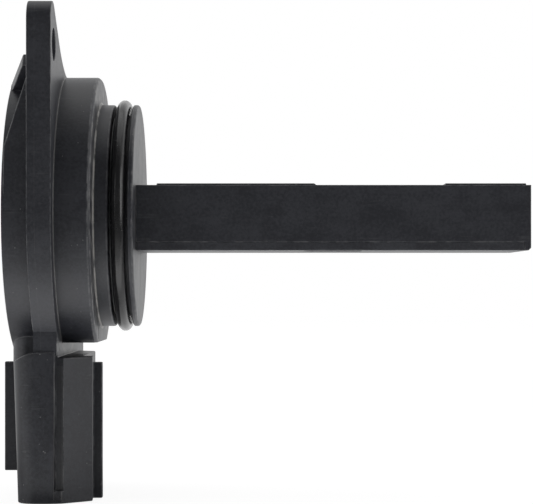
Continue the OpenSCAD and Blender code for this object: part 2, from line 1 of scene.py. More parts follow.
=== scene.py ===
"""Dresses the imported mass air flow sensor: moulded plastics, seal, metals and a white studio."""

import logging
import math
from dataclasses import dataclass, field
from enum import Enum
from typing import Iterable, Optional, Sequence, Union

import bmesh
import bpy
from mathutils import Matrix, Vector


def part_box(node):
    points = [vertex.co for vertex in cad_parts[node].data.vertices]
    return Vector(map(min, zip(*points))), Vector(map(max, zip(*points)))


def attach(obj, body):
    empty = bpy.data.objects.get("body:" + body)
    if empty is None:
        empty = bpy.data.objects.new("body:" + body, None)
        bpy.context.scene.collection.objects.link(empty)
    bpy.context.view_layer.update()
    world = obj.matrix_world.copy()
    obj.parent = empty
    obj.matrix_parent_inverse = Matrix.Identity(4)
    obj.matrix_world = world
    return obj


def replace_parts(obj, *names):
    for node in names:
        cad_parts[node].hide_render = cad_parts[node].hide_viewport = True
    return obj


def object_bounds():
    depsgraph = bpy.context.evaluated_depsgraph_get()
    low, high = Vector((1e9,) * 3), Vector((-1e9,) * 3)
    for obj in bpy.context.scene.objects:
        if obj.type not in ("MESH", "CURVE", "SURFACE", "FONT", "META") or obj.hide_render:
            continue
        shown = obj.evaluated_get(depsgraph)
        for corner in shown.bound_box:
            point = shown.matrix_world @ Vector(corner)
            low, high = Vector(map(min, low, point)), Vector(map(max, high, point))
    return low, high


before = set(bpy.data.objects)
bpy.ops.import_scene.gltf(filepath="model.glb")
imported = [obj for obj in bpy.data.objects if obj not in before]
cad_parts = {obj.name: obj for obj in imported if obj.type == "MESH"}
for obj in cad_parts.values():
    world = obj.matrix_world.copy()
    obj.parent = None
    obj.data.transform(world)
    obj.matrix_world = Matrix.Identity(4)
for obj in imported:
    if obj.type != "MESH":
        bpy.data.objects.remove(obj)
CAD_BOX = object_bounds()

MM = 0.001
EDGE_LAYER = "softened_edge"
LOG = logging.getLogger("sensor")

Span = tuple[float, float]
Triple = tuple[float, float, float]
Colour = tuple[float, float, float]
Value = Union[float, Sequence[float], "Signal"]

EVEN: Triple = (1.0, 1.0, 1.0)
WHITE: Colour = (1.0, 1.0, 1.0)


@dataclass(frozen=True)
class Grain:
    """A noise: its cells in a millimetre, its octaves and their strength, and its stretch.

    With a step it goes softly from 0 to 1 between the step's two values.
    """

    per_mm: float
    detail: float = 2.0
    rough: float = 0.5
    stretch: Triple = EVEN
    step: Optional[Span] = None


@dataclass(frozen=True)
class Specks:
    """Scattered dots: places for them in a millimetre, their radius, and the share taken."""

    per_mm: float
    radius_mm: float
    share: float
    solid: float = 0.6
    number_step: Span = (0.80, 0.82)
    patches: Grain = Grain(1.0 / 6.0, step=(0.38, 0.56))

    @property
    def fade(self) -> Span:
        """Where a dot begins to fade and where it ends, in the pattern's own cells."""
        radius = self.radius_mm * self.per_mm
        return radius * self.solid, radius

    @property
    def chance(self) -> Span:
        """The step in a place's random number above which it has a dot."""
        low, high = self.number_step
        return low - self.share / 2, high - self.share / 2


class Signal:
    """A node socket that can be used in Python expressions, which add the Math nodes."""

    def __init__(self, recipe: "Recipe", socket: bpy.types.NodeSocket) -> None:
        """Wraps one socket.

        Args:
            recipe: The material's node tree that new nodes go into.
            socket: The socket.
        """
        self.recipe = recipe
        self.socket = socket

    def _math(self, operation: str, first: Value, second: Value, clamp: bool = False) -> "Signal":
        """Adds a Math node.

        Args:
            operation: The Math node's operation.
            first: Its first value.
            second: Its second value.
            clamp: Whether the result is kept between 0 and 1.

        Returns:
            The node's result.
        """
        settings = {"operation": operation, "use_clamp": clamp}
        return self.recipe.node("ShaderNodeMath", settings, {0: first, 1: second})

    def __add__(self, other: Value) -> "Signal":
        """Sum."""
        return self._math("ADD", self, other)

    __radd__ = __add__

    def __sub__(self, other: Value) -> "Signal":
        """Difference."""
        return self._math("SUBTRACT", self, other)

    def __rsub__(self, other: Value) -> "Signal":
        """Difference from a number, such as 1 - mask."""
        return self._math("SUBTRACT", other, self)

    def __mul__(self, other: Value) -> "Signal":
        """Product."""
        return self._math("MULTIPLY", self, other)

    __rmul__ = __mul__

    def clamped(self) -> "Signal":
        """The value kept between 0 and 1."""
        return self._math("ADD", self, 0.0, clamp=True)

    def above(self, low: float, high: float) -> "Signal":
        """A soft step.

        Args:
            low: The value below which the result is 0.
            high: The value above which it is 1.

        Returns:
            The stepped value.
        """
        settings = {"interpolation_type": "SMOOTHSTEP", "clamp": True}
        inputs = {"Value": self, "From Min": low, "From Max": high}
        return self.recipe.node("ShaderNodeMapRange", settings, inputs)

    def between(self, low: float, high: float, soft: float) -> "Signal":
        """A soft band.

        Args:
            low: Where the band begins.
            high: Where it ends.
            soft: How wide its soft sides are.

        Returns:
            1 in the band and 0 outside.
        """
        return self.above(low - soft, low) * (1.0 - self.above(high, high + soft))


class Recipe:
    """Builds the nodes of one material or of the surroundings."""

    def __init__(self, tree: bpy.types.NodeTree) -> None:
        """Empties a node tree and gets ready to fill it.

        Args:
            tree: The node tree.
        """
        self.tree = tree
        tree.nodes.clear()

    def node(
        self,
        kind: str,
        settings: Optional[dict] = None,
        inputs: Optional[dict] = None,
        output: Union[int, str] = 0,
    ) -> Signal:
        """Adds a node.

        Args:
            kind: The node's type name.
            settings: Its properties, which are set first.
            inputs: Socket name or index to a value or a link.
            output: The output that is wanted.

        Returns:
            That output, or the first input of a node that has no outputs.
        """
        made = self.tree.nodes.new(kind)
        for name, value in (settings or {}).items():
            setattr(made, name, value)
        for name, value in (inputs or {}).items():
            self._feed(made.inputs[name], value)
        return Signal(self, made.outputs[output] if made.outputs else made.inputs[0])

    def _feed(self, socket: bpy.types.NodeSocket, value: Value) -> None:
        """Links or sets a socket.

        Args:
            socket: The input socket.
            value: A link or a value; a colour may come without its alpha.
        """
        if isinstance(value, Signal):
            self.tree.links.new(value.socket, socket)
        elif isinstance(value, (int, float)) or len(value) == len(socket.default_value):
            socket.default_value = value
        else:
            socket.default_value = (*value, 1.0)

    def place(self, stretch: Triple = EVEN) -> Signal:
        """Object coordinates in millimetres.

        Args:
            stretch: Extra scale along X, Y and Z.

        Returns:
            The coordinates.
        """
        at = self.node("ShaderNodeTexCoord", output="Object")
        scale = tuple(share / MM for share in stretch)
        return self.node("ShaderNodeMapping", {}, {"Vector": at, "Scale": scale})

    def along(self, axis: str) -> Signal:
        """One object coordinate in millimetres.

        Args:
            axis: X, Y or Z.

        Returns:
            The coordinate.
        """
        return self.node("ShaderNodeSeparateXYZ", {}, {"Vector": self.place()}, axis)

    def radius(self) -> Signal:
        """Distance from the pilot's axis in millimetres.

        Returns:
            The distance.
        """
        inputs = {0: self.place((0.0, 1.0, 1.0))}
        return self.node("ShaderNodeVectorMath", {"operation": "LENGTH"}, inputs, "Value")

    def edges(self) -> Signal:
        """The faces of a piece's softened edges.

        Returns:
            1 on those faces and 0 elsewhere.
        """
        return self.node("ShaderNodeAttribute", {"attribute_name": EDGE_LAYER}, output="Fac")

    def noise(self, grain: Grain) -> Signal:
        """Noise over the surface.

        Args:
            grain: Its settings.

        Returns:
            The noise, from 0 to 1.
        """
        inputs = {
            "Vector": self.place(grain.stretch),
            "Scale": grain.per_mm,
            "Detail": grain.detail,
            "Roughness": grain.rough,
        }
        plain = self.node("ShaderNodeTexNoise", {"noise_dimensions": "3D"}, inputs)
        return plain.above(*grain.step) if grain.step else plain

    def specks(self, specks: Specks) -> Signal:
        """Scattered dots, gathered in patches.

        Args:
            specks: Their settings.

        Returns:
            1 on the dots.
        """
        inputs = {"Vector": self.place(), "Scale": specks.per_mm, "Randomness": 1.0}
        cells = {"voronoi_dimensions": "3D", "feature": "F1"}
        distance = self.node("ShaderNodeTexVoronoi", cells, inputs, "Distance")
        number = self.node("ShaderNodeTexVoronoi", cells, inputs, "Color")
        near = 1.0 - distance.above(*specks.fade)
        return near * number.above(*specks.chance) * self.noise(specks.patches)

    def mixed(self, factor: Value, first: Value, second: Value) -> Signal:
        """Mixes two colours.

        Args:
            factor: How much of the second.
            first: The first colour.
            second: The second colour.

        Returns:
            The mixed colour.
        """
        settings = {"data_type": "RGBA", "blend_type": "MIX", "clamp_factor": True}
        inputs = {"Factor": factor, "A": first, "B": second}
        return self.node("ShaderNodeMix", settings, inputs, "Result")

    def blended(self, factor: Value, first: Signal, second: Signal) -> Signal:
        """Mixes two shaders.

        Args:
            factor: How much of the second.
            first: The first shader.
            second: The second shader.

        Returns:
            The mixed shader.
        """
        return self.node("ShaderNodeMixShader", {}, {0: factor, 1: first, 2: second})

    def bump(
        self, height: Value, depth_mm: float, strength: float = 1.0, over: Optional[Signal] = None
    ) -> Signal:
        """Relief from a height.

        Args:
            height: The height, from 0 to 1.
            depth_mm: What 1 stands for, in millimetres.
            strength: How strong the relief is.
            over: The relief that this one adds to.

        Returns:
            The normal.
        """
        inputs = {"Height": height, "Distance": depth_mm * MM, "Strength": strength}
        if over is not None:
            inputs["Normal"] = over
        return self.node("ShaderNodeBump", {}, inputs)

    def surface(self, uniform: dict, varied: dict) -> None:
        """Ends a material in a Principled shader.

        Args:
            uniform: Its values that are the same all over.
            varied: Its values that come from nodes.
        """
        shader = self.node("ShaderNodeBsdfPrincipled", {}, {**uniform, **varied})
        self.node("ShaderNodeOutputMaterial", {}, {"Surface": shader})


def new_recipe(name: str) -> tuple[bpy.types.Material, Recipe]:
    """Makes an empty material with nodes.

    Args:
        name: The material's name.

    Returns:
        The material and its recipe.
    """
    made = bpy.data.materials.new(name)
    made.use_nodes = True
    return made, Recipe(made.node_tree)


@dataclass(frozen=True)
class DustAndPaintedLightLine:
    """Pale lines of three kinds: dust in a corner or along a seam, a painted highlight along an
    edge, and painted light that lifts the shade in a groove.

    Its place is a span along X, a span of distance from the pilot's axis and, for some, one of
    height, all in millimetres. It is missing where its noise is below broken.
    """

    along_x: Span
    radius: Span
    broken: float
    share: float
    soft: float = 0.06
    height: Optional[Span] = None
    per_mm: float = 0.30
    detail: float = 4.0
    rough: float = 0.55
    fade: float = 0.30

    def mask(self, r: Recipe) -> Signal:
        """Marks the line.

        Args:
            r: The recipe that the nodes go into.

        Returns:
            The line's share where it lies, and 0 elsewhere.
        """
        band = r.along("X").between(*self.along_x, self.soft)
        band = band * r.radius().between(*self.radius, self.soft)
        if self.height is not None:
            band = band * r.along("Z").between(*self.height, self.soft)
        step = (self.broken, self.broken + self.fade)
        gaps = Grain(self.per_mm, self.detail, self.rough, step=step)
        return band * r.noise(gaps) * self.share


@dataclass(frozen=True)
class MouldedPlastic:
    """Black glass-filled plastic: slightly mottled, finely eroded, with a little dust and
    handling, and with edges in a paler wear colour that also serves as a painted highlight.
    """

    name: str
    base: Colour = (0.0195, 0.0206, 0.0262)
    pale: Colour = (0.0355, 0.0372, 0.0450)
    dust: Colour = (0.24, 0.24, 0.235)
    # pale colour of the rounded edges: wear, and a painted highlight for the light that the edges
    # catch
    worn_and_highlight: Colour = (0.13, 0.132, 0.138)
    # colour of the pale lines: dust, and also painted highlights and painted light
    line_colour_dust_and_painted_light: Colour = (0.42, 0.41, 0.39)
    roughness: float = 0.42
    ior: float = 1.5
    dust_and_painted_light_lines: tuple[DustAndPaintedLightLine, ...] = ()

    clouds: Grain = Grain(0.16, 3.0, 0.55)
    flow: Grain = Grain(0.9, 4.0, 0.6, (0.25, 1.0, 1.0))
    mottle: Grain = Grain(2.3, 3.0, 0.7)
    pores: Grain = Grain(9.0, 2.0, 0.6)
    scratches: Grain = Grain(2.2, 0.0, stretch=(0.06, 0.5, 1.9), step=(0.70, 0.76))
    handled: Grain = Grain(0.3, 1.0, step=(0.5, 0.62))
    rubbed_and_highlight: Grain = Grain(0.55, 4.0, 0.7, step=(0.40, 0.62))
    small_specks: Specks = Specks(1.1, 0.11, 0.26)
    large_specks: Specks = Specks(0.35, 0.15, 0.22)

    cloud_share: float = 0.35
    flow_share: float = 0.15
    mottle_share: float = 0.5
    tone_step: Span = (0.40, 0.60)
    scratch_share: float = 0.06
    edge_wear_and_highlight_share: float = 0.6
    small_speck_share: float = 0.8
    speck_share: float = 0.7

    tone_roughness: float = 0.06
    pore_roughness: float = 0.10
    dust_roughness: float = 0.25
    pore_depth_mm: float = 0.004
    mottle_depth_mm: float = 0.010
    scratch_depth_mm: float = 0.003
    soft_relief: float = 0.6

    def make(self) -> bpy.types.Material:
        """Builds the material.

        Returns:
            The material.
        """
        made, r = new_recipe(self.name)
        mottle = r.noise(self.mottle)
        pores = r.noise(self.pores)
        scratches = r.noise(self.scratches) * r.noise(self.handled)
        specks = r.specks(self.small_specks) * self.small_speck_share + r.specks(self.large_specks)
        broad = r.noise(self.clouds) * self.cloud_share + r.noise(self.flow) * self.flow_share
        tone = (broad + mottle * self.mottle_share).above(*self.tone_step)
        least = self.roughness - (self.tone_roughness + self.pore_roughness) / 2
        uneven = tone * self.tone_roughness + pores * self.pore_roughness
        rough = (uneven + specks * self.dust_roughness + least).clamped()
        relief = r.bump(pores, self.pore_depth_mm)
        relief = r.bump(mottle, self.mottle_depth_mm, self.soft_relief, relief)
        relief = r.bump(scratches, self.scratch_depth_mm, self.soft_relief, relief)
        colour = self._colour(r, tone, scratches, specks)
        r.surface({"IOR": self.ior}, {"Base Color": colour, "Roughness": rough, "Normal": relief})
        return made

    def _colour(self, r: Recipe, tone: Signal, scratches: Signal, specks: Signal) -> Signal:
        """Colours the plastic.

        Args:
            r: The recipe that the nodes go into.
            tone: How pale the plastic is.
            scratches: Where it is scratched.
            specks: Where dust lies on it.

        Returns:
            The colour.
        """
        body = r.mixed(tone, self.base, self.pale)
        scuffed = r.mixed(scratches * self.scratch_share, body, self.dust)
        # painted highlight: the rounded edges are mixed towards a pale wear colour that stands for
        # wear and for the light that the edges catch
        rubbed_and_highlight = r.edges() * r.noise(self.rubbed_and_highlight) * self.edge_wear_and_highlight_share
        edged = r.mixed(rubbed_and_highlight, scuffed, self.worn_and_highlight)
        colour_with_dust_and_painted_light = r.mixed(specks * self.speck_share, edged, self.dust)
        # pale lines: dust and a seam, plus painted highlights and painted light along the boss's
        # root and the connector's groove
        for line in self.dust_and_painted_light_lines:
            colour_with_dust_and_painted_light = r.mixed(line.mask(r), colour_with_dust_and_painted_light, self.line_colour_dust_and_painted_light)
        return colour_with_dust_and_painted_light


@dataclass(frozen=True)
class SealRubber:
    """Black rubber with a faint bloom, fine pits, and dust along its side towards the probe."""

    name: str
    base: Colour = (0.010, 0.010, 0.011)
    pale: Colour = (0.022, 0.022, 0.023)
    dust: Colour = (0.30, 0.30, 0.29)
    roughness: float = 0.14
    ior: float = 1.52

    bloom: Grain = Grain(0.5, 4.0, 0.65, step=(0.42, 0.68))
    pits: Grain = Grain(7.0, 3.0, 0.6)
    smears: Grain = Grain(3.4, 3.0, 0.7, step=(0.60, 0.72))
    specks: Specks = Specks(1.6, 0.08, 0.40)
    dusty_side_mm: Span = (9.5, 9.85)

    bloom_share: float = 0.6
    smear_share: float = 0.5
    dust_share: float = 0.4
    pit_roughness: float = 0.10
    bloom_roughness: float = 0.08
    dust_roughness: float = 0.2
    pit_depth_mm: float = 0.006

    def make(self) -> bpy.types.Material:
        """Builds the material.

        Returns:
            The material.
        """
        made, r = new_recipe(self.name)
        bloom = r.noise(self.bloom)
        pits = r.noise(self.pits)
        side = r.along("X").above(*self.dusty_side_mm)
        dust = r.noise(self.smears) * side * self.smear_share + r.specks(self.specks)
        body = r.mixed(bloom * self.bloom_share, self.base, self.pale)
        colour = r.mixed(dust * self.dust_share, body, self.dust)
        uneven = pits * self.pit_roughness + bloom * self.bloom_roughness
        rough = (uneven + dust * self.dust_roughness + self.roughness).clamped()
        relief = r.bump(pits, self.pit_depth_mm)
        r.surface({"IOR": self.ior}, {"Base Color": colour, "Roughness": rough, "Normal": relief})
        return made


@dataclass(frozen=True)
class PlatedMetal:
    """Plated or rolled metal with fine lines along one direction."""

    name: str
    base: Colour
    tarnish: Colour
    roughness: float = 0.22

    lines: Grain = Grain(14.0, 2.0, 0.6, (1.0, 1.0, 0.06))
    stain: Grain = Grain(0.7, 3.0, 0.6, step=(0.45, 0.75))
    stain_share: float = 0.5
    line_roughness: float = 0.16
    stain_roughness: float = 0.10
    line_depth_mm: float = 0.003

    def make(self) -> bpy.types.Material:
        """Builds the material.

        Returns:
            The material.
        """
        made, r = new_recipe(self.name)
        lines = r.noise(self.lines)
        stain = r.noise(self.stain)
        colour = r.mixed(stain * self.stain_share, self.base, self.tarnish)
        least = self.roughness - self.line_roughness / 2
        uneven = lines * self.line_roughness + stain * self.stain_roughness
        rough = (uneven + least).clamped()
        relief = r.bump(lines, self.line_depth_mm)
        r.surface({"Metallic": 1.0}, {"Base Color": colour, "Roughness": rough, "Normal": relief})
        return made


@dataclass(frozen=True)
class FiredCeramic:
    """Fired or glazed ceramic with fine grain and small dark specks."""

    name: str
    base: Colour
    shade: Colour
    roughness: float = 0.35
    ior: float = 1.6

    grain: Grain = Grain(12.0, 3.0, 0.6)
    clouds: Grain = Grain(0.8, 2.0, 0.5, step=(0.35, 0.7))
    flecks: Grain = Grain(5.0, 1.0, 0.5, step=(0.72, 0.76))
    cloud_share: float = 0.4
    fleck_share: float = 0.3
    grain_roughness: float = 0.14
    grain_depth_mm: float = 0.003

    def make(self) -> bpy.types.Material:
        """Builds the material.

        Returns:
            The material.
        """
        made, r = new_recipe(self.name)
        grain = r.noise(self.grain)
        shaded = r.noise(self.clouds) * self.cloud_share + r.noise(self.flecks) * self.fleck_share
        colour = r.mixed(shaded, self.base, self.shade)
        least = self.roughness - self.grain_roughness / 2
        rough = (grain * self.grain_roughness + least).clamped()
        relief = r.bump(grain, self.grain_depth_mm)
        r.surface({"IOR": self.ior}, {"Base Color": colour, "Roughness": rough, "Normal": relief})
        return made


@dataclass(frozen=True)
class SoftGel:
    """Clear silicone gel with a few clouds in it."""

    name: str
    base: Colour = (0.80, 0.84, 0.86)
    cloud: Colour = (0.70, 0.72, 0.72)
    roughness: float = 0.06
    ior: float = 1.41

    clouds: Grain = Grain(0.35, 3.0, 0.5)
    clear_alpha: float = 0.22
    cloud_alpha: float = 0.18
    wave_depth_mm: float = 0.15
    wave_strength: float = 0.4

    def make(self) -> bpy.types.Material:
        """Builds the material.

        Returns:
            The material.
        """
        made, r = new_recipe(self.name)
        clouds = r.noise(self.clouds)
        colour = r.mixed(clouds, self.base, self.cloud)
        alpha = (clouds * self.cloud_alpha + self.clear_alpha).clamped()
        relief = r.bump(clouds, self.wave_depth_mm, self.wave_strength)
        r.surface(
            {"Roughness": self.roughness, "IOR": self.ior},
            {"Base Color": colour, "Alpha": alpha, "Normal": relief},
        )
        return made


GROOVE_RADII: Span = (22.0, 52.0)
GROOVE_HEIGHTS: Span = (-42.9, -23.0)
# painted highlight: a thin pale line round the boss's root, standing for the light that its small
# fillet catches
BOSS_ROOT_HIGHLIGHT = DustAndPaintedLightLine((0.02, 0.14), (21.3, 22.1), broken=0.05, share=0.17)
PILOT_ROOT = DustAndPaintedLightLine((5.38, 5.58), (17.1, 17.7), broken=0.28, share=0.85, soft=0.07)
BOSS_FACE = DustAndPaintedLightLine(
    (5.30, 5.60), (17.2, 21.7), broken=0.44, share=0.30, soft=0.15, per_mm=0.6
)
PILOT_FACE = DustAndPaintedLightLine(
    (11.13, 11.4), (0.0, 17.6), broken=0.34, share=0.10, soft=0.02, per_mm=0.4
)
FLANGE_SEAM = DustAndPaintedLightLine((-2.44, -2.39), (22.5, 40.0), broken=0.30, share=0.04, soft=0.04)
# painted highlights: pale lines along both edges of the connector's keying groove, standing for
# the light that the edges catch
GROOVE_REAR_HIGHLIGHT = DustAndPaintedLightLine(
    (-0.46, -0.40), GROOVE_RADII, broken=0.15, share=0.15, soft=0.04, height=GROOVE_HEIGHTS
)
GROOVE_FRONT_HIGHLIGHT = DustAndPaintedLightLine(
    (0.66, 0.72), GROOVE_RADII, broken=0.15, share=0.15, soft=0.04, height=GROOVE_HEIGHTS
)
# painted light: a faint pale tint inside the keying groove that lifts the shade there
GROOVE_BOTTOM_PAINTED_LIGHT = DustAndPaintedLightLine(
    (-0.36, 0.62), GROOVE_RADII, broken=0.0, share=0.025, height=GROOVE_HEIGHTS
)


class Finish(Enum):
    """The finishes that the sensor's pieces have."""

    HOUSING = MouldedPlastic(
        "housing_finish", dust_and_painted_light_lines=(BOSS_ROOT_HIGHLIGHT, PILOT_ROOT, BOSS_FACE, PILOT_FACE, FLANGE_SEAM)
    )
    CONNECTOR = MouldedPlastic(
        "connector_finish", (0.0130, 0.0138, 0.0180), (0.0250, 0.0263, 0.0325),
        dust_and_painted_light_lines=(GROOVE_REAR_HIGHLIGHT, GROOVE_FRONT_HIGHLIGHT, GROOVE_BOTTOM_PAINTED_LIGHT),
    )
    PROBE = MouldedPlastic("probe_finish")
    LID = MouldedPlastic(
        "lid_finish", (0.026, 0.027, 0.033), (0.042, 0.044, 0.052), roughness=0.44
    )
    EPOXY = MouldedPlastic(
        "epoxy_finish", (0.04, 0.04, 0.043), (0.055, 0.055, 0.058), roughness=0.6
    )
    ADHESIVE = MouldedPlastic(
        "adhesive_finish", (0.08, 0.08, 0.09), (0.11, 0.11, 0.12), roughness=0.32
    )
    SEAL = SealRubber("seal_finish")
    TIN = PlatedMetal("tin_finish", (0.72, 0.71, 0.68), (0.55, 0.54, 0.50))
    HEAT_PLATE = PlatedMetal(
        "heat_plate_finish", (0.70, 0.71, 0.72), (0.58, 0.59, 0.60), 0.34,
        lines=Grain(14.0, 2.0, 0.6, (1.0, 0.06, 1.0)),
    )
    GOLD = PlatedMetal("gold_finish", (0.83, 0.62, 0.25), (0.72, 0.50, 0.20), 0.18)
    PLATINUM = PlatedMetal("wire_finish", (0.66, 0.65, 0.63), (0.52, 0.50, 0.47), 0.25)
    BOARD = FiredCeramic("board_finish", (0.85, 0.83, 0.76), (0.74, 0.71, 0.62), 0.5)
    CAPACITOR = FiredCeramic("capacitor_finish", (0.50, 0.36, 0.20), (0.38, 0.26, 0.14))
    RESISTOR = FiredCeramic("resistor_finish", (0.03, 0.035, 0.05), (0.02, 0.02, 0.03), 0.25)
    BOBBIN = FiredCeramic("bobbin_finish", (0.78, 0.78, 0.75), (0.65, 0.64, 0.60))
    BEAD = FiredCeramic("bead_finish", (0.22, 0.06, 0.04), (0.12, 0.03, 0.02), 0.12)
    GEL = SoftGel("gel_finish")

    @property
    def material(self) -> bpy.types.Material:
        """The material, made when it is first asked for."""
        return bpy.data.materials.get(self.value.name) or self.value.make()


def dress(piece: bpy.types.Object, finish: Finish) -> bpy.types.Object:
    """Gives a piece one finish all over.

    Args:
        piece: The piece.
        finish: Its finish.

    Returns:
        The piece.
    """
    slots = piece.data.materials
    slots.clear()
    slots.append(finish.material)
    return piece


def add_piece(name: str, form: bmesh.types.BMesh, finish: Finish) -> bpy.types.Object:
    """Turns a bmesh into a piece of the sensor.

    Args:
        name: The piece's name.
        form: Its mesh, which is freed.
        finish: Its finish.

    Returns:
        The piece, which rides on the root body.
    """
    mesh = bpy.data.meshes.new(name)
    form.to_mesh(mesh)
    form.free()
    piece = bpy.data.objects.new(name, mesh)
    bpy.context.scene.collection.objects.link(piece)
    dress(piece, finish)
    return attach(piece, "root")


def shade_smooth(form: bmesh.types.BMesh) -> None:
    """Shades all faces of a mesh smooth.

    Args:
        form: The mesh.
    """
    for face in form.faces:
        face.smooth = True


@dataclass(frozen=True)
class EdgeSoftener:
    """Gives a moulded node the small rounded edges that its tool leaves."""

    width_mm: float = 0.14
    segments: int = 2
    from_angle: float = math.radians(32)
    crease_ratio: float = 1.3
    weld_mm: float = 0.002
    flat_angle: float = math.radians(0.4)
    face_weight: int = 60

    def soften(self, node: str, finish: Finish, slot: str) -> bpy.types.Object:
        """Replaces a node by a copy with soft edges.

        Args:
            node: The CAD node.
            finish: The copy's finish.
            slot: The record's material slot, which is not used.

        Returns:
            The copy.
        """
        form = bmesh.new()
        form.from_mesh(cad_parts[node].data)
        self._scale(form, 1 / MM)
        self._join_flat_faces(form)
        self._round_edges(form)
        self._scale(form, MM)
        self._shade(form)
        piece = add_piece(f"{node}_moulded", form, finish)
        self._weigh_normals(piece)
        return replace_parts(piece, node)

    def _scale(self, form: bmesh.types.BMesh, factor: float) -> None:
        """Scales a mesh about the origin, because the bevel works better on sizes near 1.

        Args:
            form: The mesh.
            factor: The scale.
        """
        bmesh.ops.scale(form, vec=(factor, factor, factor), verts=form.verts)

    def _join_flat_faces(self, form: bmesh.types.BMesh) -> None:
        """Turns a CAD node's loose triangles into whole flat faces.

        Args:
            form: The mesh, in millimetres.
        """
        bmesh.ops.remove_doubles(form, verts=form.verts, dist=self.weld_mm)
        bmesh.ops.dissolve_limit(
            form, angle_limit=self.flat_angle, verts=form.verts, edges=form.edges,
            use_dissolve_boundaries=False,
        )

    def _is_bent(self, edge: bmesh.types.BMEdge, angle: float) -> bool:
        """Whether two faces meet at an edge at more than an angle.

        Args:
            edge: The edge.
            angle: The angle.

        Returns:
            Whether they do.
        """
        return edge.is_manifold and edge.calc_face_angle(0.0) > angle

    def _round_edges(self, form: bmesh.types.BMesh) -> None:
        """Rounds the sharp edges, and marks the new faces, which get the plastic's pale wear
        colour and a painted highlight.

        Args:
            form: The mesh, in millimetres.
        """
        sharp = [edge for edge in form.edges if self._is_bent(edge, self.from_angle)]
        softened = form.faces.layers.float.new(EDGE_LAYER)
        made = bmesh.ops.bevel(
            form, geom=sharp, offset=self.width_mm, offset_type="OFFSET", segments=self.segments,
            profile=0.5, affect="EDGES", clamp_overlap=False, material=-1, loop_slide=True,
        )
        for face in made["faces"]:
            face[softened] = 1.0

    def _shade(self, form: bmesh.types.BMesh) -> None:
        """Shades the mesh smooth, but for the edges that are still sharp.

        Args:
            form: The mesh.
        """
        shade_smooth(form)
        for edge in form.edges:
            edge.smooth = not self._is_bent(edge, self.from_angle * self.crease_ratio)

    def _weigh_normals(self, piece: bpy.types.Object) -> None:
        """Lets the large faces set the shading, so that they look flat beside their edges.

        Args:
            piece: The piece.
        """
        modifier = piece.modifiers.new("even_shading", "WEIGHTED_NORMAL")
        modifier.weight = self.face_weight
        modifier.keep_sharp = True


@dataclass
class Housing:
    """The flange, back wall, boss, pilot and connector in one moulding, with its rear cover."""

    edges: EdgeSoftener = field(default_factory=EdgeSoftener)
    foot_low_mm: Triple = (-3.55, -16.0, -21.4)
    foot_high_mm: Triple = (-0.05, -6.0, -12.5)
    connector_below_mm: float = -20.2

    def build(self) -> list[bpy.types.Object]:
        """Builds the housing's pieces.

        Returns:
            The pieces.
        """
        shell = self.edges.soften("housing", Finish.HOUSING, "housing_plastic")
        self._add_foot(shell)
        self._finish_connector(shell)
        cover = self.edges.soften("rear_cover", Finish.HOUSING, "housing_plastic")
        adhesive = dress(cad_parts["cover_adhesive"], Finish.ADHESIVE)
        return [shell, cover, adhesive]

    def _add_foot(self, shell: bpy.types.Object) -> None:
        """Fills the corner between the flange's near lobe and the connector, as the moulding does.

        Args:
            shell: The housing.
        """
        low, high = Vector(self.foot_low_mm) * MM, Vector(self.foot_high_mm) * MM
        form = bmesh.new()
        form.from_mesh(shell.data)
        made = bmesh.ops.create_cube(form, size=1.0)["verts"]
        bmesh.ops.scale(form, vec=high - low, verts=made)
        bmesh.ops.translate(form, vec=(low + high) / 2, verts=made)
        form.to_mesh(shell.data)
        form.free()

    def _finish_connector(self, shell: bpy.types.Object) -> None:
        """Gives the connector's faces their own, slightly darker finish.

        Args:
            shell: The housing.
        """
        mesh = shell.data
        mesh.materials.append(Finish.CONNECTOR.material)
        top = self.connector_below_mm * MM
        for polygon in mesh.polygons:
            if all(mesh.vertices[corner].co.z < top for corner in polygon.vertices):
                polygon.material_index = 1


@dataclass
class SealRing:
    """The rubber ring in the pilot's groove, with the fine line that its mould leaves."""

    flash_mm: float = 0.04
    flash_width_share: float = 0.1
    squeezed: float = 0.86
    ring_segments: int = 192
    section_segments: int = 40
    weld_mm: float = 0.001

    def build(self) -> list[bpy.types.Object]:
        """Builds the ring.

        Returns:
            The ring.
        """
        low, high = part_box("o_ring")
        middle = (low + high) / 2
        section = (high.x - low.x) / 2
        radius = (high.z - low.z) / 2 - section
        form = self._section(section)
        bmesh.ops.translate(form, verts=form.verts, vec=(middle.x, middle.y, middle.z + radius))
        bmesh.ops.spin(
            form, geom=form.verts[:] + form.edges[:], cent=middle, axis=(1, 0, 0),
            angle=2 * math.pi, steps=self.ring_segments, use_merge=True, use_normal_flip=False,
            use_duplicate=False,
        )
        bmesh.ops.remove_doubles(form, verts=form.verts, dist=self.weld_mm * MM)
        bmesh.ops.recalc_face_normals(form, faces=form.faces)
        shade_smooth(form)
        ring = add_piece("seal_ring", form, Finish.SEAL)
        return [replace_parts(ring, "o_ring")]

    def _section(self, radius: float) -> bmesh.types.BMesh:
        """Draws the ring's section, squeezed along X and trimmed at its mould line.

        Args:
            radius: The section's radius before it is squeezed.

        Returns:
            A mesh with the section in the XZ plane, about the origin.
        """
        form = bmesh.new()
        bmesh.ops.create_circle(form, segments=self.section_segments, radius=radius)
        upright = Matrix.Rotation(math.pi / 2, 3, "X")
        bmesh.ops.rotate(form, verts=form.verts, cent=(0, 0, 0), matrix=upright)
        for vertex in form.verts:
            vertex.co.x *= self.squeezed
            if abs(vertex.co.x) < radius * self.flash_width_share and vertex.co.z > 0:
                vertex.co.z -= self.flash_mm * MM
        return form


